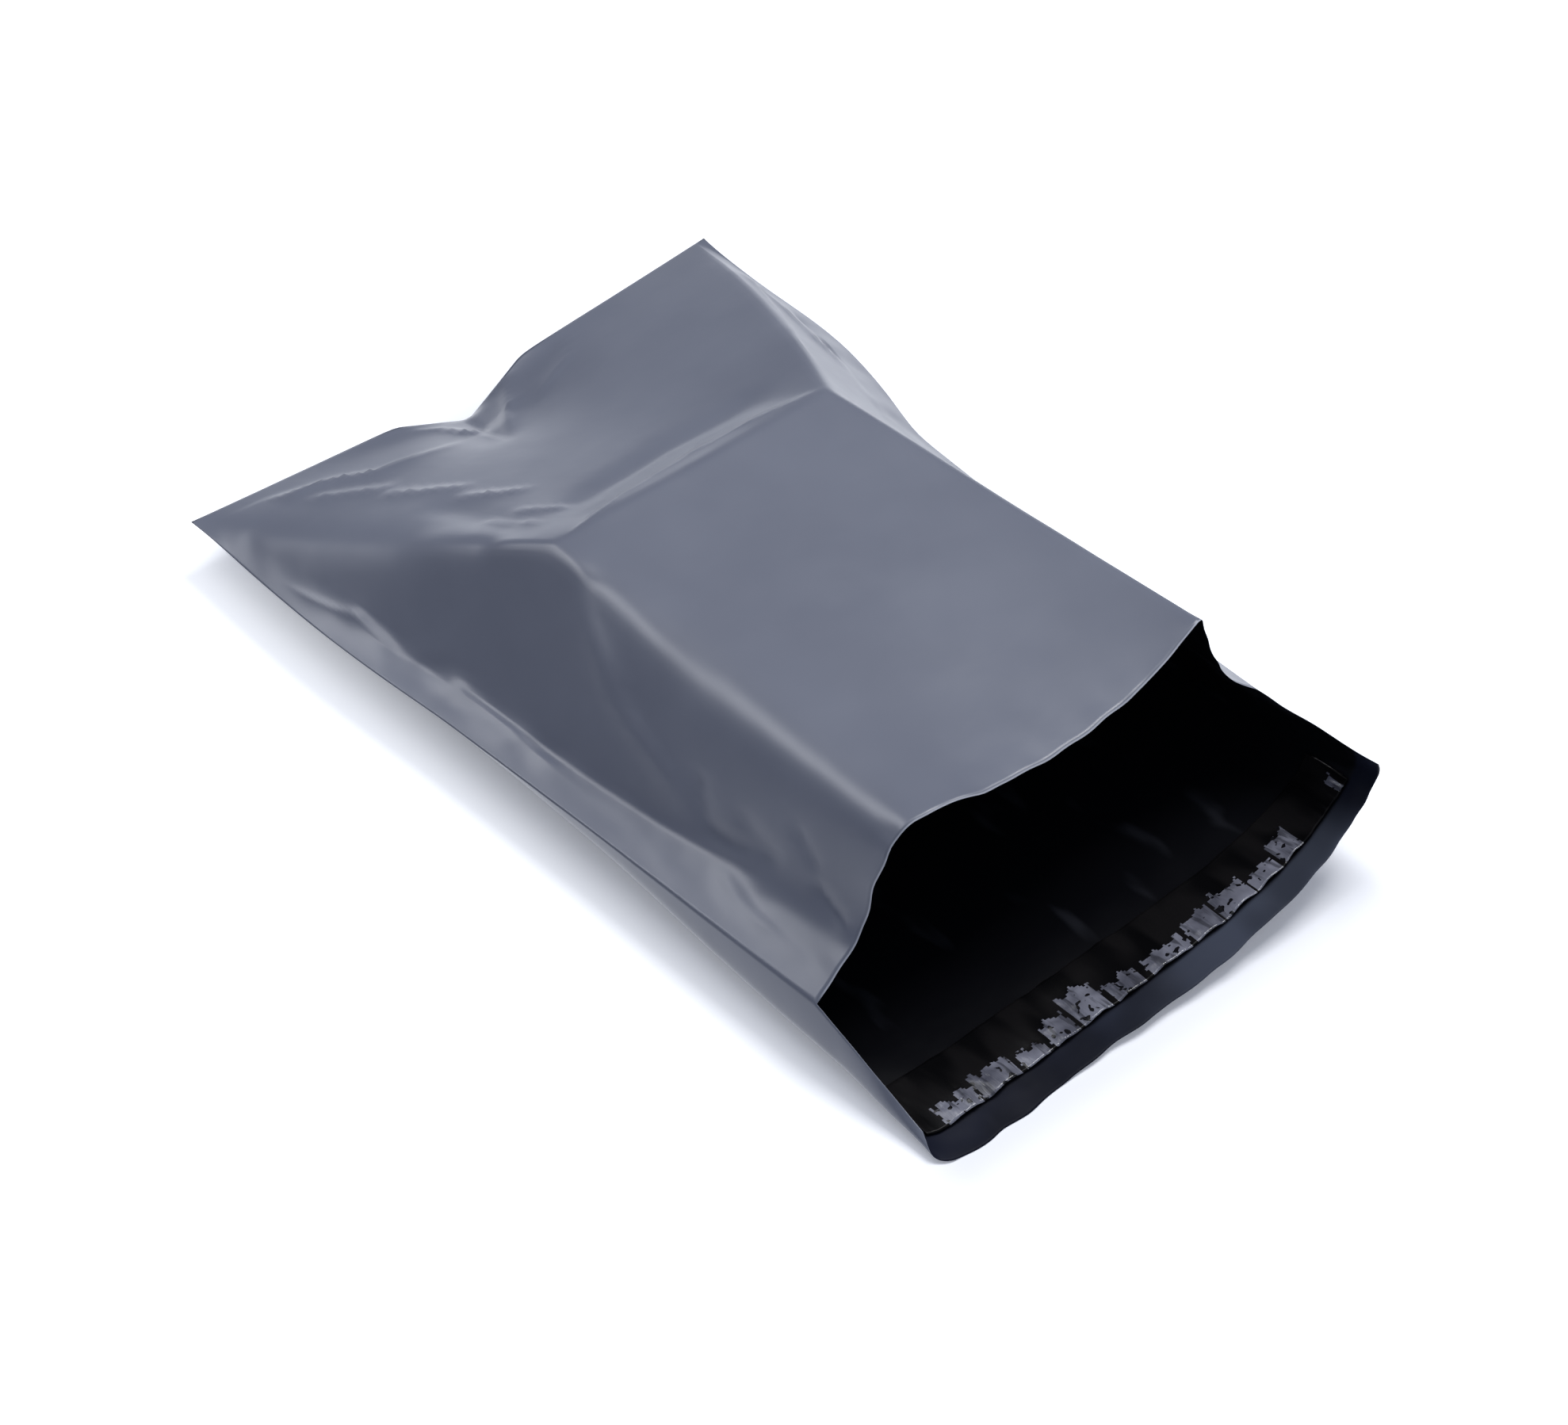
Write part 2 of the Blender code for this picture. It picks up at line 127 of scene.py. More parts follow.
# Where the liner stands off the melt: from, to and depth, along its outer edge
LIFTED_PATCHES = (
    (-97, -81, 7), (-80, -63, 9), (-61, -49, 6), (-47, -36, 10), (-34, -21, 15), (-19, -6, 8),
    (-3, 15, 7), (17, 30, 10), (31, 45, 11), (46, 58, 7), (60, 71, 12), (99, 104, 9),
)
# How high it buckles there, and how far in from a patch's edge it reaches that height
LINER_BUCKLE = 0.91
BUCKLE_REACH = 5.0
# How much less ragged a patch is at its two ends than along its inner side
PATCH_END_SHARE = 0.3

# Random forms: height, run across, run along and seed
BUCKLE_CHANGE = (0.65, 6.0, 1.0, 5.0)
LINER_RIPPLE = (0.14, 2.2, 12.0, 9.0)
PATCH_RAGGED = (2.2, 2.3, 2.0, 3.0)
PATCH_DEPTH = (3.0, 4.0, 1.0, 8.0)
STRIP_LUMPS = (0.05, 4.0, 4.0, 2.0)
WELD_CRINKLE = (1.0, 9.0, 13.0, 3.0)
MOUTH_CRINKLE = (0.9, 11.0, 30.0, 7.0)
LIP_CRINKLE = (0.9, 16.0, 26.0, 11.0)
FILM_WAVE = (0.25, 40.0, 40.0, 19.0)
CUT_WANDER = (1.1, 13.0, 1000.0, 23.0)
# How far from the weld, the mouth and the lip's root these crinkles start and end, and where
# and by how much those at the weld calm down towards the fold
WELD_CRINKLE_SPAN = (4.0, 26.0)
MOUTH_CRINKLE_SPAN = (0.0, 14.0)
LIP_CRINKLE_SPAN = (2.0, 14.0)
CALM_SPAN = (190.0, 250.0)
CALM_SHARE = 0.65
CUT_WANDER_SPAN = 8.0

# The film's wall thins out towards the fold's two corners: over which distance, and to what
THIN_CORNER_SPAN = (2.0, 8.0)
THINNEST_SHARE = 0.05
# The lip's map takes in the film up to this far inside the mouth
LIP_MAP_END = 5.0

HALF = FLAT_WIDTH / 2
BULGE_HALF = BULGE_WIDTH / 2
BULGE_TOP = BULGE_HEIGHT + FILM_THICKNESS
BULGE_BACK = BULGE_SETBACK + BULGE_LENGTH
SLOPE_RISE = BULGE_TOP - sum(FOLD_PILLOW_LIFT) / 2
FOLD_Y = BULGE_BACK + math.sqrt((POCKET_LENGTH - BULGE_BACK) ** 2 - SLOPE_RISE**2)

# Rows of the cage: shares of the slope from the bulge to the fold, shares of the bulge
# from its back edge to the mouth, and shares of the lip
SLOPE_SHARES = (1.0, 0.90, 0.66, 0.40, 0.15)
BULGE_SHARES = (0.0, 0.08, 0.42, 0.82, 1.0)
LIP_SHARES = (0.34, 0.72, 1.0)
# Where the mouth's flare, the corners' rounding, the dent and the free back panel start or end
MOUTH_START_SHARE = 0.6
ROUND_END_SHARE = 0.4
DENT_START_SHARE = 0.55
FREE_START_SHARE = 0.5
# Columns of the cage, left weld to right weld, with a shoulder between each ridge and the middle
COLUMNS = 9
MIDDLE = COLUMNS // 2
LEFT_BAND, LEFT_RIDGE, RIGHT_RIDGE = 1, 2, COLUMNS - 3
SHOULDER_SHARE = 0.5
# Each side's sign and its place in a pair of values
SIDES = ((-1, 0), (1, 1))
# How often the cage is subdivided
SMOOTHING = 4
# How sharply the front panel turns along its left band and its left ridge, from fold to mouth
BAND_CREASES = (0.0, 0.0, 0.2, 0.5, 0.7, 0.7, 0.75, 0.7, 0.25)
LEFT_RIDGE_CREASES = (0.0, 0.05, 0.2, 0.4, 0.6, 0.55, 0.38, 0.22, 0.12)
RIGHT_RIDGE_CREASE = 0.95
BACK_EDGE_CREASE = 0.45
BULGE_CORNER_CREASE = 0.55
DENT_CREASE = 0.7

# Colours, from the dark end of a range to its light end
GREY_FILM = ((0.150, 0.163, 0.207), (0.172, 0.186, 0.232))
MOUTH_CUT_HIGHLIGHT = (0.50, 0.52, 0.58)
CUT_EDGE_HIGHLIGHT = ((0.30, 0.32, 0.38), (0.45, 0.47, 0.54))
BLACK_FILM = ((0.0042, 0.0044, 0.0060), (0.019, 0.020, 0.025))
NAVY_SHEEN = ((0.011, 0.013, 0.024), (0.072, 0.083, 0.115))
MELT = ((0.004, 0.004, 0.005), (0.009, 0.008, 0.008))
LAID_LINER = ((0.003, 0.003, 0.0035), (0.008, 0.0075, 0.008))
LIFTED_LINER_REFLECTION = ((0.085, 0.087, 0.112), (0.20, 0.205, 0.25))
LINER_REFLECTION_STREAK = (0.035, 0.036, 0.046)
LINER_BUBBLE = (0.006, 0.006, 0.008)
FLOOR = (0.90, 0.91, 0.94)
FLOOR_GLOW = (0.965, 0.98, 1.0)
ROOM = ((0.11, 0.12, 0.15), (0.30, 0.33, 0.41))
WHITE = (1.0, 1.0, 1.0)
# Where the lip's margin takes its painted navy reflection, in millimetres along the film, and where
# that painted reflection brightens and fades again, in metres across it
SHEEN_MARGIN_END = (-50.0, -47.5)
SHEEN_RISE = (-0.05, 0.08)
SHEEN_FALL = (0.084, 0.100)


def mix(low, high, share):
    return low + (high - low) * share


def ease(share):
    share = min(max(share, 0.0), 1.0)
    return share * share * (3 - 2 * share)


def arch(share):
    """0 at both ends and 1 halfway."""
    return 4 * share * (1 - share)


def weld_lift(side, y):
    return mix(WELD_LIFT_MOUTH[side], WELD_LIFT_FOLD[side], y / FOLD_Y)


def bulge_centre(y):
    return BULGE_TURN * (FOLD_Y / 2 - y)


def weld_reach(ridge_reach, ridge_height, lift, chord_share):
    """How far out a side weld lies, from the film left between it and the ridge."""
    chord = chord_share * (HALF - ridge_reach + RIDGE_SAVING)
    drop = ridge_height - lift
    return ridge_reach + math.sqrt(max(chord**2 - drop**2, (WALL_LEAST_SHARE * chord) ** 2))


def front_row(depths, ridges, bands, welds, top):
    """Nine points across the front panel: weld, band, ridge, three on top, and back down."""
    line = [welds[0], bands[0], ridges[0], *top, ridges[1], bands[1], welds[1]]
    return [(x, depth, z) for depth, (x, z) in zip(depths, line)]


def bulge_front_row(share):
    """A row of the front panel over the bulge: 0 is the bulge's back edge, 1 the mouth."""
    y = mix(BULGE_BACK, 0.0, share)
    mouth = ease((share - MOUTH_START_SHARE) / (1 - MOUTH_START_SHARE))
    centre = bulge_centre(y)
    ridges, bands, welds = [], [], []
    for sign, side in SIDES:
        rounding = BULGE_CORNER_ROUND[side] * (1 - ease(share / ROUND_END_SHARE))
        bowed = BULGE_HALF - rounding + RIDGE_BOW[side] * arch(share)
        ridge_x = centre + sign * (bowed + mouth * MOUTH_ROLL[side])
        ridge_z = BULGE_TOP + mouth * MOUTH_FLARE[side]
        lift = weld_lift(side, y)
        chord = mix(WALL_CHORD_BACK[side], WALL_CHORD_MOUTH[side], share)
        ridge_reach = centre * sign + bowed
        reach = weld_reach(ridge_reach, BULGE_TOP, lift, chord)
        mouth_run = MOUTH_BAND_RUN_SHARE[side] * (reach - abs(ridge_x))
        run = mix(BAND_RUN[side], mouth_run, mouth)
        rise = mix(BAND_RISE[side], MOUTH_BAND_RISE_SHARE * (ridge_z - lift), mouth)
        ridges.append((ridge_x, ridge_z))
        bands.append((sign * (reach - run), lift + rise))
        welds.append((sign * reach, lift))
    top = [(centre + BULGE_HALF * at, BULGE_TOP) for at in (-SHOULDER_SHARE, 0.0, SHOULDER_SHARE)]
    drawn = [0.0, MOUTH_DRAW[0], MOUTH_DRAW[0], -MOUTH_OVERHANG, -MOUTH_OVERHANG, 0.0]
    drawn += [MOUTH_DRAW[1], MOUTH_DRAW[1], 0.0]
    return front_row([y + mouth * shift for shift in drawn], ridges, bands, welds, top)


def slope_front_row(number):
    """A row of the front panel behind the bulge, the first at the fold."""
    share = SLOPE_SHARES[number]
    y = mix(BULGE_BACK, FOLD_Y, share)
    spread = [1 - (1 - share) ** power for power in RIDGE_SPREAD_POWER]
    dent = ease((share - DENT_START_SHARE) / (1 - DENT_START_SHARE))
    straight_start, straight_end = STRAIGHT_WALL_SHARES
    straightened = ease((share - straight_start) / (straight_end - straight_start))
    corner = fold_corner_reach()
    sag = SLOPE_SAG * arch(math.sqrt(share))
    ridges, bands, welds, shoulders = [], [], [], []
    for sign, side in SIDES:
        lift = weld_lift(side, y)
        start = bulge_centre(BULGE_BACK) * sign + BULGE_HALF - BULGE_CORNER_ROUND[side]
        pillow_reach = FOLD_PILLOW_X[side] * sign
        end_reach = mix(corner, pillow_reach, RIDGE_END_SHARE[side])
        end_lift = mix(lift, FOLD_PILLOW_LIFT[side], RIDGE_END_SHARE[side])
        reach = mix(start, end_reach, spread[side])
        height = mix(BULGE_TOP, end_lift, share)
        chord = mix(WALL_CHORD_BACK[side], WALL_CHORD_FOLD[side], share)
        out = mix(weld_reach(reach, height, lift, chord), corner, ease(share))
        out -= WELD_DRAW_IN[side][number]
        band = mix(out - BAND_RUN[side], mix(corner, end_reach, 0.5), share)
        band_height = mix(lift + BAND_RISE[side], mix(lift, end_lift, 0.5), share)
        if sign < 0:
            straight = mix(lift, height, (out - band) / (out - reach))
            band_height = mix(band_height, straight, straightened)
        ridges.append((sign * reach, height))
        bands.append((sign * band, band_height))
        welds.append((sign * out, lift))
        inner = bulge_centre(BULGE_BACK) + sign * BULGE_HALF * SHOULDER_SHARE
        shoulder_x = mix(inner, FOLD_PILLOW_X[side], share)
        shoulders.append((shoulder_x, mix(BULGE_TOP, FOLD_PILLOW_LIFT[side], share) - sag))
    plain = mix(BULGE_TOP, sum(FOLD_PILLOW_LIFT) / 2, share) - sag
    valley_x = mix(bulge_centre(BULGE_BACK), FOLD_DENT_X, share)
    valley = (valley_x, mix(plain, FOLD_DENT_LIFT, dent))
    depths = [y] * COLUMNS
    depths[MIDDLE] -= dent * FOLD_DENT_PULL
    return front_row(depths, ridges, bands, welds, [shoulders[0], valley, shoulders[1]])


def fold_corner_reach():
    """Half the fold's width once its dent and its slack have taken up some film."""
    rise = sum(FOLD_PILLOW_LIFT) / 2 - FOLD_DENT_LIFT
    run = (FOLD_PILLOW_X[1] - FOLD_PILLOW_X[0]) / 2
    return (HALF - (math.hypot(run, rise) - run)) * FOLD_CHORD_SHARE


def back_row(front, tuck, share_free):
    """The back panel under a front row: flat in the middle, curling up to the welds."""
    left, right = front[0], front[-1]
    y = left[1]
    half_row = []
    for (x, _, lift), sign in ((left, -1), (right, 1)):
        foot = sign * (abs(x) - mix(*FOOT_SHARE, tuck) * lift)
        curl = sign * (abs(x) - mix(*CURL_SHARE, tuck) * lift)
        half_row.append(((curl, y, mix(*CURL_RISE_SHARE, tuck) * lift), (foot, y, 0.0)))
    (curl_left, foot_left), (curl_right, foot_right) = half_row
    flat = [(mix(foot_left[0], foot_right[0], at), y, 0.0) for at in (0.25, 0.5, 0.75)]
    row = [left, curl_left, foot_left, *flat, foot_right, curl_right, right]
    return [tuple(mix(a, b, share_free) for a, b in zip(*points)) for points in zip(row, front)]


def lip_row(mouth, share):
    """A row of the lip beyond the mouth: its margins curl up, the right one more."""
    row = []
    for (x, _, z), end_lift, drawn in zip(mouth, LIP_END_LIFT, LIP_END_DRAW):
        spread = -LIP_SPREAD[0] if x < 0 else LIP_SPREAD[1]
        out = x + spread * share * abs(x / mouth[0][0]) ** 2
        row.append((out, -(LIP_LENGTH - drawn) * share, mix(z, end_lift, share)))
    return row


def cage():
    """Front rows from fold to mouth, and back rows from fold to the lip's end."""
    fold = slope_front_row(0)
    front = [fold]
    back = [fold]
    for number, share in enumerate(SLOPE_SHARES[1:], 1):
        row = slope_front_row(number)
        front.append(row)
        free = ease((share - FREE_START_SHARE) / (1 - FREE_START_SHARE))
        back.append(back_row(row, 1.0, BACK_FREE_SHARE * free))
    for share in BULGE_SHARES:
        row = bulge_front_row(share)
        front.append(row)
        back.append(back_row(row, 1 - ease(share), 0.0))
    mouth = back[-1]
    for share in LIP_SHARES:
        back.append(lip_row(mouth, share))
    return front, back


def to_world(point):
    """From the mouth's own frame in millimetres to the part's frame in metres."""
    x, y, z = point
    return Vector((x, y - FOLD_Y / 2, z)) * MM


class Wire:
    """One output of a node. Sums and products of wires add Math nodes to their tree."""

    def __init__(self, tree, socket):
        self.tree = tree
        self.socket = socket

    def math(self, operation, *values):
        return self.tree.add("Math", {"operation": operation}, dict(enumerate(values)))[0]

    def __add__(self, other):
        return self.math("ADD", self, other)

    def __radd__(self, other):
        return self.math("ADD", other, self)

    def __sub__(self, other):
        return self.math("SUBTRACT", self, other)

    def __rsub__(self, other):
        return self.math("SUBTRACT", other, self)

    def __mul__(self, other):
        return self.math("MULTIPLY", self, other)

    def __rmul__(self, other):
        return self.math("MULTIPLY", other, self)

    def step(self, low, high):
        """0 below low, 1 above high, smooth between."""
        settings = {"interpolation_type": "SMOOTHSTEP"}
        ranges = {"Value": self, "From Min": low, "From Max": high}
        return self.tree.add("MapRange", settings, ranges)["Result"]


class Node:
    """A node whose outputs are wires, by name or number."""

    def __init__(self, tree, node):
        self.tree = tree
        self.node = node

    def __getitem__(self, name):
        return Wire(self.tree, self.node.outputs[name])


class Tree:
    """A material's or the world's node tree, filled by add() and by sums on wires."""

    def __init__(self, owner):
        owner.use_nodes = True
        self.tree = owner.node_tree
        self.tree.nodes.clear()

    def add(self, kind, settings=None, values=None):
        node = self.tree.nodes.new("ShaderNode" + kind)
        for name, value in (settings or {}).items():
            setattr(node, name, value)
        for name, value in (values or {}).items():
            self.feed(node.inputs[name], value)
        return Node(self, node)

    def feed(self, socket, value):
        if isinstance(value, Wire):
            self.tree.links.new(value.socket, socket)
        elif hasattr(socket.default_value, "__len__") and len(value) == 3:
            filled = (*value, 1.0) if len(socket.default_value) == 4 else value
            socket.default_value = filled
        else:
            socket.default_value = value

    def mix_colour(self, share, low, high):
        return self.add("Mix", {"data_type": "RGBA"}, {0: share, 6: low, 7: high})[2]

    def place(self):
        return self.add("TexCoord")["Object"]

    def noise(self, vector, scale, detail=2.0, roughness=0.5):
        values = {"Vector": vector, "Scale": scale, "Detail": detail, "Roughness": roughness}
        return self.add("TexNoise", {"noise_dimensions": "3D"}, values)["Fac"]

    def vector(self, operation, *vectors):
        return self.add("VectorMath", {"operation": operation}, dict(enumerate(vectors)))

    def stretched(self, vector, scale):
        return self.vector("MULTIPLY", vector, scale)[0]

    def attribute(self, name):
        return self.add("Attribute", {"attribute_name": name})["Fac"]

    def x_of(self, vector):
        return self.add("SeparateXYZ", {}, {"Vector": vector})["X"]

    def surface(self, shader_values, bump=None, depth=0.0):
        """Principled shader to the output, with an optional bump of this depth in metres."""
        values = dict(shader_values)
        if bump:
            values["Normal"] = self.add("Bump", {}, {"Height": bump, "Distance": depth})["Normal"]
        shader = self.add("BsdfPrincipled", {}, values)
        self.add("OutputMaterial", {}, {"Surface": shader["BSDF"]})


def film_outside():
    """Grey satin film, with a painted highlight along the cut of the mouth."""
    material = bpy.data.materials.new("grey_film_outside")
    tree = Tree(material)
    place = tree.place()
    cloud = tree.noise(place, 14.0, detail=3.0)
    base = tree.mix_colour(cloud.step(0.3, 0.7), *GREY_FILM)
    smudge = tree.noise(place, 45.0)
    along = tree.attribute("along")
    front = tree.attribute("panel").step(0.5, 0.6)
    # Painted highlight: the front panel is lighter in a thin band along the mouth's cut.
    cut = (1 - along.step(0.3, 0.9)) * front
    base = tree.mix_colour(cut, base, MOUTH_CUT_HIGHLIGHT)
    ripple = tree.noise(place, 60.0, roughness=0.4)
    values = {"Base Color": base, "Roughness": 0.27 + 0.10 * smudge, "IOR": 1.5}
    tree.surface(values, bump=ripple, depth=0.0002)
    return material


def film_inside():
    """Black film with faint lighter streaks, and a painted navy reflection on the lip's margin beyond
    the liner.
    """
    material = bpy.data.materials.new("black_film_inside")
    tree = Tree(material)
    place = tree.place()
    smudge = tree.noise(place, 30.0)
    # Painted reflection: the lip's margin beyond the liner gets a navy sheen, brighter in a band
    # across it.
    margin = 1 - tree.attribute("along").step(*SHEEN_MARGIN_END)
    painted_sheen = margin * (0.5 + 0.5 * tree.noise(place, 35.0, detail=1.0).step(0.3, 0.6))
    x = tree.x_of(place)
    sheen_brightness = x.step(*SHEEN_RISE) * (1 - x.step(*SHEEN_FALL))
    navy_sheen = tree.mix_colour(sheen_brightness, *NAVY_SHEEN)
    faint_streaks = tree.noise(tree.stretched(place, (1.0, 0.3, 1.0)), 75.0).step(0.6, 0.75)
    black = tree.mix_colour(faint_streaks, *BLACK_FILM)
    base = tree.mix_colour(painted_sheen, black, navy_sheen)
    ripple = tree.noise(place, 50.0)
    values = {"Base Color": base, "Roughness": 0.30 + 0.15 * smudge, "IOR": 1.45}
    values["Specular IOR Level"] = 0.05
    tree.surface(values, bump=ripple, depth=0.0005)
    return material


def melt():
    """Clear hot-melt over black film."""
    material = bpy.data.materials.new("hot_melt")
    tree = Tree(material)
    lump = tree.noise(tree.place(), 180.0)
    base = tree.mix_colour(lump, *MELT)
    values = {"Base Color": base, "Roughness": 0.22 + 0.2 * lump, "IOR": 1.48}
    tree.surface(values, bump=lump, depth=0.0004)
    return material


def laid_liner():
    """Clear glossy release film where it lies on the melt, so that it looks black."""
    material = bpy.data.materials.new("laid_liner_film")
    tree = Tree(material)
    cell = tree.noise(tree.stretched(tree.place(), (1.0, 0.35, 1.0)), 90.0, detail=1.0)
    base = tree.mix_colour(cell.step(0.4, 0.6), *LAID_LINER)
    values = {"Base Color": base, "Roughness": 0.18, "IOR": 1.45, "Specular IOR Level": 0.06}
    tree.surface(values, bump=cell, depth=0.0002)
    return material


def lifted_liner():
    """The same film where it stands off the melt, with the light it mirrors painted into its colour.
    """
    material = bpy.data.materials.new("lifted_liner_film")
    tree = Tree(material)
    place = tree.place()
    cloud = tree.noise(place, 70.0)
    hatch = tree.noise(tree.stretched(place, (3.0, 0.4, 1.0)), 300.0)
    # Painted reflection: grey clouds for the light the lifted liner mirrors, with darker streaks
    # where it folds.
    base = tree.mix_colour(cloud.step(0.35, 0.65), *LIFTED_LINER_REFLECTION)
    streak = tree.noise(tree.stretched(place, (1.0, 0.12, 0.3)), 420.0)
    base = tree.mix_colour(0.75 * streak.step(0.5, 0.62), base, LINER_REFLECTION_STREAK)
    bubble = tree.noise(place, 330.0, detail=1.0).step(0.62, 0.65)
    base = tree.mix_colour(bubble, base, LINER_BUBBLE)
    values = {"Base Color": base, "Roughness": 0.12 + 0.15 * hatch, "IOR": 1.5}
    tree.surface(values, bump=hatch, depth=0.0003)
    return material


def cut_edge():
    """The film's thin cut edge, painted light grey for the light it catches."""
    material = bpy.data.materials.new("cut_film_edge")
    tree = Tree(material)
    speckle = tree.noise(tree.place(), 300.0)
    tree.surface({"Base Color": tree.mix_colour(speckle, *CUT_EDGE_HIGHLIGHT), "Roughness": 0.4})
    return material


def flat_across(row):
    """Where a row's points lie across the flat film, from its middle, in millimetres."""
    steps = [math.dist(a, b) for a, b in zip(row, row[1:])]
    total = sum(steps)
    return [FLAT_WIDTH * (sum(steps[:count]) / total - 0.5) for count in range(len(row))]


def flat_along():
    """Where each row lies along the flat film, from the mouth, as cage() lists them."""
    slope = [mix(BULGE_BACK, POCKET_LENGTH, share) for share in SLOPE_SHARES]
    bulge = [mix(BULGE_BACK, 0.0, share) for share in BULGE_SHARES]
    lip = [-LIP_LENGTH * share for share in LIP_SHARES]
    return slope + bulge + lip


def film_verts(work, front, back):
    """The cage's points by rows. Both panels share the fold's row and the two welds."""
    fold = [work.verts.new(to_world(p)) for p in front[0]]
    front_verts, back_verts = [fold], [fold]
    for number, row in enumerate(front[1:], 1):
        verts = [work.verts.new(to_world(p)) for p in row]
        front_verts.append(verts)
        inner = [work.verts.new(to_world(p)) for p in back[number][1:-1]]
        back_verts.append([verts[0], *inner, verts[-1]])
    for row in back[len(front):]:
        back_verts.append([work.verts.new(to_world(p)) for p in row])
    return front_verts, back_verts


def film_creases(front_verts):
    """Edges along which the film turns sharply: both ends and a weight."""
    fold = front_verts[0]
    creases = [(start, end, 1.0) for start, end in zip(fold, fold[1:])]
    for low, high, band, ridge in zip(front_verts, front_verts[1:], BAND_CREASES, LEFT_RIDGE_CREASES):
        weights = {0: 1.0, LEFT_BAND: band, LEFT_RIDGE: ridge}
        weights |= {RIGHT_RIDGE: RIGHT_RIDGE_CREASE, COLUMNS - 1: 1.0}
        creases += [(low[column], high[column], weight) for column, weight in weights.items()]
    back_edge = front_verts[len(SLOPE_SHARES)][LEFT_RIDGE:RIGHT_RIDGE + 1]
    creases += [(start, end, BACK_EDGE_CREASE) for start, end in zip(back_edge, back_edge[1:])]
    return creases


def film_mesh():
    """The film as one mid-surface grid that knows where each point lies on the flat film."""
    front, back = cage()
    work = bmesh.new()
    layers = {name: work.verts.layers.float.new(name) for name in ("across", "along", "panel")}
    edge_crease = work.edges.layers.float.new("crease_edge")
    corner_crease = work.verts.layers.float.new("crease_vert")
    front_verts, back_verts = film_verts(work, front, back)
    # The front panel's faces look up and the back panel's down, so all of them look outwards
    for rows, turn in ((front_verts, -1), (back_verts, 1)):
        for low, high in zip(rows, rows[1:]):
            for column in range(COLUMNS - 1):
                face = [low[column], low[column + 1], high[column + 1], high[column]]
                work.faces.new(face[::turn])
    for start, end, weight in film_creases(front_verts):
        work.edges.get((start, end))[edge_crease] = weight
    fold, lip_end = front_verts[0], back_verts[-1]
    front_verts[len(SLOPE_SHARES)][LEFT_RIDGE][corner_crease] = BULGE_CORNER_CREASE
    for vert in (fold[0], fold[-1], lip_end[0], lip_end[-1]):
        vert[corner_crease] = 1.0
    for vert in fold[MIDDLE - 1:MIDDLE + 2]:
        vert[corner_crease] = DENT_CREASE
    for rows, shape, panel in ((back_verts, back, 0.0), (front_verts, front, 1.0)):
        for verts, row, along in zip(rows, shape, flat_along()):
            for vert, across in zip(verts, flat_across(row)):
                vert[layers["across"]] = across
                vert[layers["along"]] = along
                vert[layers["panel"]] = panel
    for vert in [*fold, *(row[end] for row in front_verts for end in (0, -1))]:
        vert[layers["panel"]] = 0.5
    mesh = bpy.data.meshes.new("creased_film")
    work.to_mesh(mesh)
    work.free()
    return mesh


def pinch(distance, width):
    """A fold with a sharp crest."""
    return np.exp(-np.abs(distance) / width)


def ledge(distance, width):
    """A fold that is steep on the left of its path and runs out slowly on the right."""
    steep, slow = LEDGE_WIDTHS
    return np.exp(np.where(distance > 0, -distance / (steep * width), distance / (slow * width)))


def swell(distance, width):
    """A rounded fold."""
    return np.exp(-((distance / width) ** 2))


def soft_step(values, low, high):
    share = np.clip((values - low) / (high - low), 0, 1)
    return share * share * (3 - 2 * share)


# The widths of a ledge's two sides, as shares of its width, and the share of its length over
# which a fold rises, and where it starts to run out
LEDGE_WIDTHS = (0.35, 2.0)
FOLD_RISE_SHARE = 0.25
FOLD_FALL_SHARE = 0.7

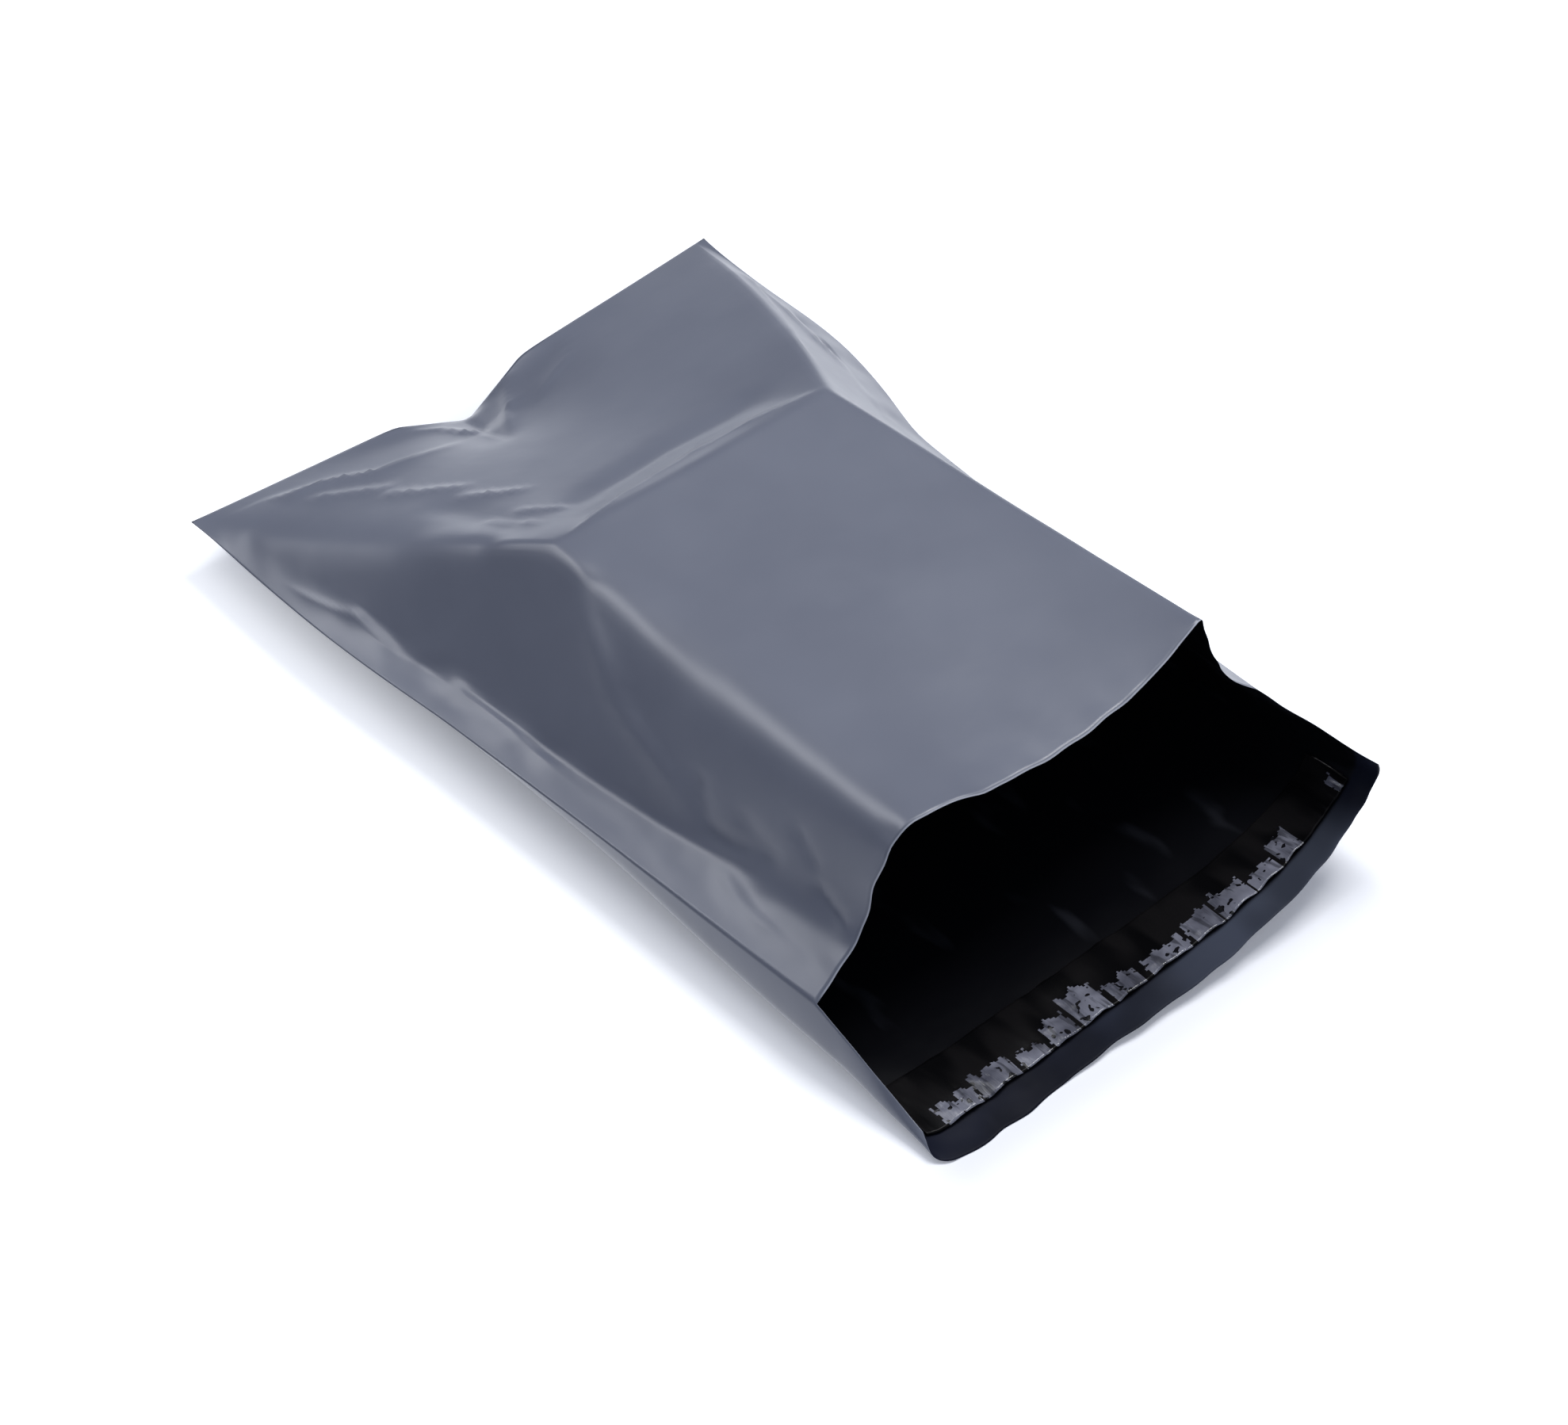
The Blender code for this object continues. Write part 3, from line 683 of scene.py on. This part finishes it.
# Folds pressed into the front panel: path on the flat film as (across, along) points, the
# fold's form, its width and its height
FRONT_FOLDS = (
    # the taut line over the bulge's back edge, and the hollow behind it
    (((-52, 178), (-20, 187), (15, 190), (45, 188), (74, 181)), ledge, 3.5, 1.9),
    (((-45, 192), (-15, 205), (15, 208), (45, 203), (68, 192)), swell, 9.0, -1.8),
    # streaks that run from the left pillow of the bottom fold to the bulge's corner
    (((-120, 324), (-98, 317), (-76, 314), (-58, 302), (-30, 303), (-12, 303)), ledge, 3.5, 2.2),
    (((-98, 309), (-82, 298), (-66, 287), (-56, 284)), ledge, 3.0, 1.5),
    (((-70, 284), (-55, 271), (-36, 256)), ledge, 2.8, 1.4),
    (((-50, 256), (-38, 244), (-24, 232)), ledge, 2.4, 1.3),
    (((-44, 224), (-36, 212), (-26, 200)), ledge, 2.2, 1.0),
    (((-56, 228), (-49, 212), (-43, 196)), ledge, 2.2, 1.0),
    (((-60, 262), (-56, 240), (-52, 214), (-49, 190)), swell, 8.0, -1.2),
    # the dent's edges
    (((-36, 331), (-16, 323), (-8, 306), (-10, 284)), pinch, 2.6, 1.7),
    (((28, 350), (19, 325), (7, 309), (-7, 284)), pinch, 4.5, 2.4),
    (((4, 350), (-3, 325), (-7, 303), (-7, 280)), pinch, 2.8, -1.9),
    (((60, 331), (38, 316), (14, 300)), ledge, 3.5, 0.9),
    # the right face of the slope
    (((118, 300), (110, 262), (106, 236), (112, 205)), pinch, 2.6, 1.4),
    (((123, 268), (117, 236), (114, 208)), pinch, 2.2, -1.1),
    (((121, 320), (115, 287), (98, 250), (84, 222), (76, 186)), ledge, 3.0, 0.9),
    # folds that fan down the left wall from the bulge's corner
    (((-58, 170), (-68, 151), (-82, 129), (-92, 102), (-102, 75)), ledge, 3.0, 1.3),
    (((-66, 150), (-74, 136), (-80, 120)), pinch, 2.2, 0.8),
    (((-50, 182), (-78, 178), (-104, 168)), swell, 7.0, 0.4),
    (((-86, 86), (-92, 80), (-101, 74)), pinch, 1.4, -1.4),
    (((-98, 80), (-101, 74), (-102, 60), (-98, 44)), pinch, 2.4, -1.8),
    (((-90, 66), (-95, 48), (-99, 30)), swell, 4.5, -1.3),
    (((-78, 36), (-84, 29), (-92, 21)), pinch, 1.3, -1.2),
    (((-94, 24), (-100, 16), (-105, 4)), pinch, 1.5, -1.4),
    # creases across the band beside the left weld
    (((-110, 59), (-115, 40), (-119, 9)), ledge, 2.4, 1.1),
    (((-122, 279), (-117, 240), (-116, 205)), ledge, 2.4, 1.0),
    (((-114, 202), (-115, 166), (-118, 118)), ledge, 2.4, 1.0),
)


def fold_height(across, along, path, form, width, height):
    """One fold's height at every point of the film. It runs out at both of its ends."""
    path = [np.array(point, float) for point in path]
    lengths = [np.linalg.norm(b - a) for a, b in zip(path, path[1:])]
    nearest = np.full(across.shape, np.inf)
    where = np.zeros(across.shape)
    done = 0.0
    for start, end, length in zip(path, path[1:], lengths):
        step = (end - start) / length
        run = np.clip((across - start[0]) * step[0] + (along - start[1]) * step[1], 0, length)
        off_x, off_y = across - start[0] - step[0] * run, along - start[1] - step[1] * run
        side = np.where(step[0] * off_y - step[1] * off_x < 0, -1, 1)
        gap = side * np.hypot(off_x, off_y)
        closer = np.abs(gap) < np.abs(nearest)
        nearest = np.where(closer, gap, nearest)
        where = np.where(closer, done + run, where)
        done += length
    share = where / done
    fade = soft_step(share, 0.0, FOLD_RISE_SHARE) * (1 - soft_step(share, FOLD_FALL_SHARE, 1.0))
    return height * fade * form(nearest, width)


def ruffle(across, along, height, run_across, run_along, seed):
    """Smooth noise up to a height over the flat film, with its own run each way."""
    return height * noise.noise((across / run_across, along / run_along, seed))


def ruffles(across, along, form):
    return np.array([ruffle(x, y, *form) for x, y in zip(across, along)])


def layer(mesh, name):
    values = np.empty(len(mesh.vertices), np.float32)
    mesh.attributes[name].data.foreach_get("value", values)
    return values.astype(float)


def work_in_folds(mesh):
    """Pushes the smooth film in and out along its normals, where folds and crinkles run."""
    across, along = layer(mesh, "across"), layer(mesh, "along")
    front = np.clip(2 * layer(mesh, "panel") - 1, 0, 1)
    count = len(mesh.vertices)
    places = np.empty(3 * count, np.float32)
    normals = np.empty(3 * count, np.float32)
    mesh.vertices.foreach_get("co", places)
    mesh.vertices.foreach_get("normal", normals)
    near_weld = 1 - soft_step(HALF - np.abs(across), *WELD_CRINKLE_SPAN)
    near_mouth = 1 - soft_step(along, *MOUTH_CRINKLE_SPAN)
    lip = soft_step(-along, *LIP_CRINKLE_SPAN)
    loose = 1 - CALM_SHARE * soft_step(along, *CALM_SPAN)
    height = sum(fold_height(across, along, *fold) for fold in FRONT_FOLDS)
    height += near_weld * loose * ruffles(across, along, WELD_CRINKLE)
    height += near_mouth * ruffles(across, along, MOUTH_CRINKLE)
    height *= front
    height += lip * ruffles(across, along, LIP_CRINKLE)
    height += ruffles(across, along, FILM_WAVE)
    moved = places.reshape(-1, 3) + normals.reshape(-1, 3) * height[:, None] * MM
    cut = front * (1 - soft_step(along, 0.0, CUT_WANDER_SPAN))
    cut += soft_step(-along, LIP_LENGTH - CUT_WANDER_SPAN, LIP_LENGTH)
    moved[:, 1] += MM * cut * ruffles(across, along, CUT_WANDER)
    moved[:, 2] = np.maximum(moved[:, 2], FILM_THICKNESS * MM)
    mesh.vertices.foreach_set("co", moved.astype(np.float32).ravel())
    mesh.update()


def add_piece(name, mesh, materials):
    piece = bpy.data.objects.new(name, mesh)
    bpy.context.scene.collection.objects.link(piece)
    for material in materials:
        mesh.materials.append(material)
    mesh.shade_smooth()
    return piece


def apply_modifiers(piece):
    graph = bpy.context.evaluated_depsgraph_get()
    final = bpy.data.meshes.new_from_object(piece.evaluated_get(graph))
    piece.modifiers.clear()
    piece.data = final
    return final


class LipMap:
    """Finds the lip's inner face from a place on the flat film."""

    def __init__(self, mesh):
        across, along = layer(mesh, "across"), layer(mesh, "along")
        self.flat = [Vector((x, y, 0.0)) for x, y in zip(across, along)]
        self.points = [vert.co.copy() for vert in mesh.vertices]
        self.normals = [-normal.vector for normal in mesh.vertex_normals]
        mesh.calc_loop_triangles()
        triangles = [tuple(face.vertices) for face in mesh.loop_triangles]
        self.triangles = [face for face in triangles if max(along[list(face)]) < LIP_MAP_END]
        self.tree = BVHTree.FromPolygons(self.flat, self.triangles)

    def place(self, across, along, lift):
        """The point this many millimetres above the film's mid-surface."""
        spot = Vector((across, along, 0.0))
        found = self.tree.find_nearest(spot)
        face = self.triangles[found[2]]
        flat = [self.flat[i] for i in face]
        point = barycentric_transform(found[0], *flat, *(self.points[i] for i in face))
        normal = barycentric_transform(found[0], *flat, *(self.normals[i] for i in face))
        return point + normal.normalized() * lift * MM


def thin_corners(piece):
    """Vertex weights that thin the doubled film to a point at the fold's two corners."""
    across, along = layer(piece.data, "across"), layer(piece.data, "along")
    away = np.hypot(HALF - np.abs(across), POCKET_LENGTH - along)
    start, end = THIN_CORNER_SPAN
    group = piece.vertex_groups.new(name="film_wall")
    for index, share in enumerate(np.clip((away - start) / (end - start), 0, 1)):
        group.add([index], share, "REPLACE")
    return group


def creased_film():
    piece = add_piece("creased_film", film_mesh(), [film_outside(), film_inside(), cut_edge()])
    smooth = piece.modifiers.new("soft_film", "SUBSURF")
    smooth.levels = smooth.render_levels = SMOOTHING
    smooth.boundary_smooth = "PRESERVE_CORNERS"
    smoothed = apply_modifiers(piece)
    work_in_folds(smoothed)
    lip_map = LipMap(smoothed)
    wall = piece.modifiers.new("film_wall", "SOLIDIFY")
    wall.vertex_group = thin_corners(piece).name
    wall.thickness_vertex_group = THINNEST_SHARE
    wall.thickness = FILM_THICKNESS * MM
    wall.offset = -1.0
    wall.material_offset = 1
    wall.material_offset_rim = 2
    apply_modifiers(piece)
    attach(piece, "root")
    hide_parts("film_body")
    return lip_map


def lifted(across, along):
    """How surely the liner stands off the melt at a place, from its patches: over 0 it does."""
    outer = LINER_CENTRE - LINER_WIDTH / 2
    ragged = ruffle(across, along, *PATCH_RAGGED)
    best = -1.0
    for start, end, depth in LIFTED_PATCHES:
        inside = min(across - start, end - across)
        reach = depth + ruffle(across, depth, *PATCH_DEPTH) - (along - outer)
        best = max(best, min(inside + PATCH_END_SHARE * ragged, reach + ragged))
    return best


def liner_lift(across, along):
    """Height of the liner over the film: it buckles where it stands off the melt."""
    buckle = LINER_BUCKLE + ruffle(across, 0.0, *BUCKLE_CHANGE)
    raised = ease(lifted(across, along) / BUCKLE_REACH) * buckle
    return LINER_LIFT + raised + ruffle(across, along, *LINER_RIPPLE)


def strip_lift(across, along):
    return STRIP_LIFT + ruffle(across, along, *STRIP_LUMPS)


def laid_on_lip(name, lip_map, width, grid, lift_at, materials):
    """A thin strip laid along the lip. A second material goes where the liner is lifted."""
    rows, step, wander = grid
    reach = HALF - LINER_END_GAP
    count = int(2 * reach / step)
    work = bmesh.new()
    lines = []
    for row in range(rows + 1):
        seed = EDGE_SEED + row // rows
        line = []
        for column in range(count + 1):
            across = -reach + 2 * reach * column / count
            along = LINER_CENTRE + (row / rows - 0.5) * width
            along += ruffle(across, 0.5, wander, EDGE_RUN, 1.0, seed)
            line.append(work.verts.new(lip_map.place(across, along, lift_at(across, along))))
        lines.append(line)
    for row, (low, high) in enumerate(zip(lines, lines[1:])):
        along = LINER_CENTRE + ((row + 0.5) / rows - 0.5) * width
        for column in range(count):
            face = work.faces.new([low[column], low[column + 1], high[column + 1], high[column]])
            across = -reach + 2 * reach * (column + 0.5) / count
            face.material_index = int(len(materials) > 1 and lifted(across, along) > 0)
    mesh = bpy.data.meshes.new(name)
    work.to_mesh(mesh)
    work.free()
    piece = add_piece(name, mesh, materials)
    skin = piece.modifiers.new("strip_wall", "SOLIDIFY")
    skin.thickness = FILM_THICKNESS * MM
    skin.offset = 1.0
    apply_modifiers(piece)
    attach(piece, "root")
    return piece


def seal(lip_map):
    strip = laid_on_lip("melt_strip", lip_map, ADHESIVE_WIDTH, STRIP_GRID, strip_lift, [melt()])
    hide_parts("adhesive_strip")
    films = [laid_liner(), lifted_liner()]
    liner = laid_on_lip("crinkled_liner", lip_map, LINER_WIDTH, LINER_GRID, liner_lift, films)
    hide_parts("release_liner")


# The camera, placed so that the welds, the fold and the mouth fall where the photo shows them
CAMERA_PLACE = (-0.74783, -0.92108, 1.16850)
CAMERA_AZIMUTH = math.radians(-39.94)
CAMERA_ELEVATION = math.radians(45.24)
SENSOR_WIDTH = 36.0
IMAGE_WIDTH = 1978
FOCAL_PIXELS = 6000
CLIP_START, CLIP_END = 0.05, 50.0

# The floor, in metres: half its size, and the middle and half size of the mailer's footprint
FLOOR_HALF = 4.0
FOOTPRINT_MIDDLE = (0.0, -0.032, 0.0)
FOOTPRINT_HALF = (0.088, 0.19, 0.0)

# Lamps, all aimed at the origin: name, place, size, power, and whether matt surfaces see them
SOFTBOXES = (
    ("key_softbox", (0.75, 0.05, 1.6), (0.8, 0.8), 19.5, True),
    ("top_softbox", (-0.1, 0.5, 1.7), (1.0, 0.6), 3.5, True),
    ("left_strip", (-0.66, 0.82, 1.06), (1.1, 0.35), 7.0, False),
)


def camera():
    data = bpy.data.cameras.new("camera")
    data.sensor_fit = "HORIZONTAL"
    data.sensor_width = SENSOR_WIDTH
    data.lens = SENSOR_WIDTH * FOCAL_PIXELS / IMAGE_WIDTH
    data.clip_start = CLIP_START
    data.clip_end = CLIP_END
    holder = bpy.data.objects.new("camera", data)
    bpy.context.scene.collection.objects.link(holder)
    holder.location = CAMERA_PLACE
    holder.rotation_euler = (math.pi / 2 - CAMERA_ELEVATION, 0.0, CAMERA_AZIMUTH)
    bpy.context.scene.camera = holder


def floor():
    """A white floor. What the camera sees of it glows less beside the mailer, as a soft shadow, and
    what the film mirrors of it glows brighter close to the mailer and on its right, as a painted
    reflection.
    """
    mesh = bpy.data.meshes.new("studio_floor")
    work = bmesh.new()
    bmesh.ops.create_grid(work, x_segments=1, y_segments=1, size=FLOOR_HALF)
    work.to_mesh(mesh)
    work.free()
    material = bpy.data.materials.new("white_floor")
    tree = Tree(material)
    place = tree.place()
    from_middle = tree.vector("ABSOLUTE", tree.vector("SUBTRACT", place, FOOTPRINT_MIDDLE)[0])[0]
    beyond = tree.vector("SUBTRACT", from_middle, FOOTPRINT_HALF)[0]
    beyond = tree.vector("MAXIMUM", beyond, (0.0, 0.0, 0.0))[0]
    away = tree.vector("LENGTH", beyond)["Value"]
    seen = 0.17 + 0.44 * away.step(0.0, 0.035) + 0.25 * away.step(0.03, 0.1)
    beside = tree.x_of(place).step(0.05, 0.25)
    # Painted reflection: to glossy rays the floor glows brighter close to the mailer and to its
    # right, so the film's reflections there are lighter.
    reflection_glow = 0.8 - 0.6 * away.step(0.02, 0.12) + 0.35 * beside
    path = tree.add("LightPath")
    lift = path["Is Camera Ray"] * seen + path["Is Glossy Ray"] * reflection_glow
    glow = tree.add("VectorMath", {"operation": "SCALE"}, {0: FLOOR_GLOW, "Scale": lift})[0]
    values = {"Base Color": FLOOR, "Roughness": 0.9, "Specular IOR Level": 0.0}
    values |= {"Emission Color": glow, "Emission Strength": 1.0}
    tree.surface(values)
    add_piece("studio_floor", mesh, [material])


def softbox(name, place, size, power, lights_matt):
    data = bpy.data.lights.new(name, "AREA")
    data.shape = "RECTANGLE"
    data.size, data.size_y = size
    data.energy = power
    lamp = bpy.data.objects.new(name, data)
    bpy.context.scene.collection.objects.link(lamp)
    lamp.location = place
    lamp.rotation_euler = (-Vector(place)).to_track_quat("-Z", "Y").to_euler()
    lamp.visible_diffuse = lights_matt


def studio():
    """A bluish room that the film mirrors, white to the camera, and the lamps."""
    world = bpy.data.worlds.new("studio")
    bpy.context.scene.world = world
    tree = Tree(world)
    path = tree.add("LightPath")
    height = tree.add("SeparateXYZ", {}, {"Vector": tree.add("TexCoord")["Generated"]})["Z"]
    room = tree.mix_colour(height.step(0.1, 0.8), *ROOM)
    lit = tree.mix_colour(path["Is Camera Ray"], room, WHITE)
    background = tree.add("Background", {}, {"Color": lit, "Strength": 1.0})
    tree.add("OutputWorld", {}, {"Surface": background["Background"]})
    for form in SOFTBOXES:
        softbox(*form)


seal(creased_film())
floor()
studio()
camera()
bpy.context.scene.view_settings.view_transform = "Standard"
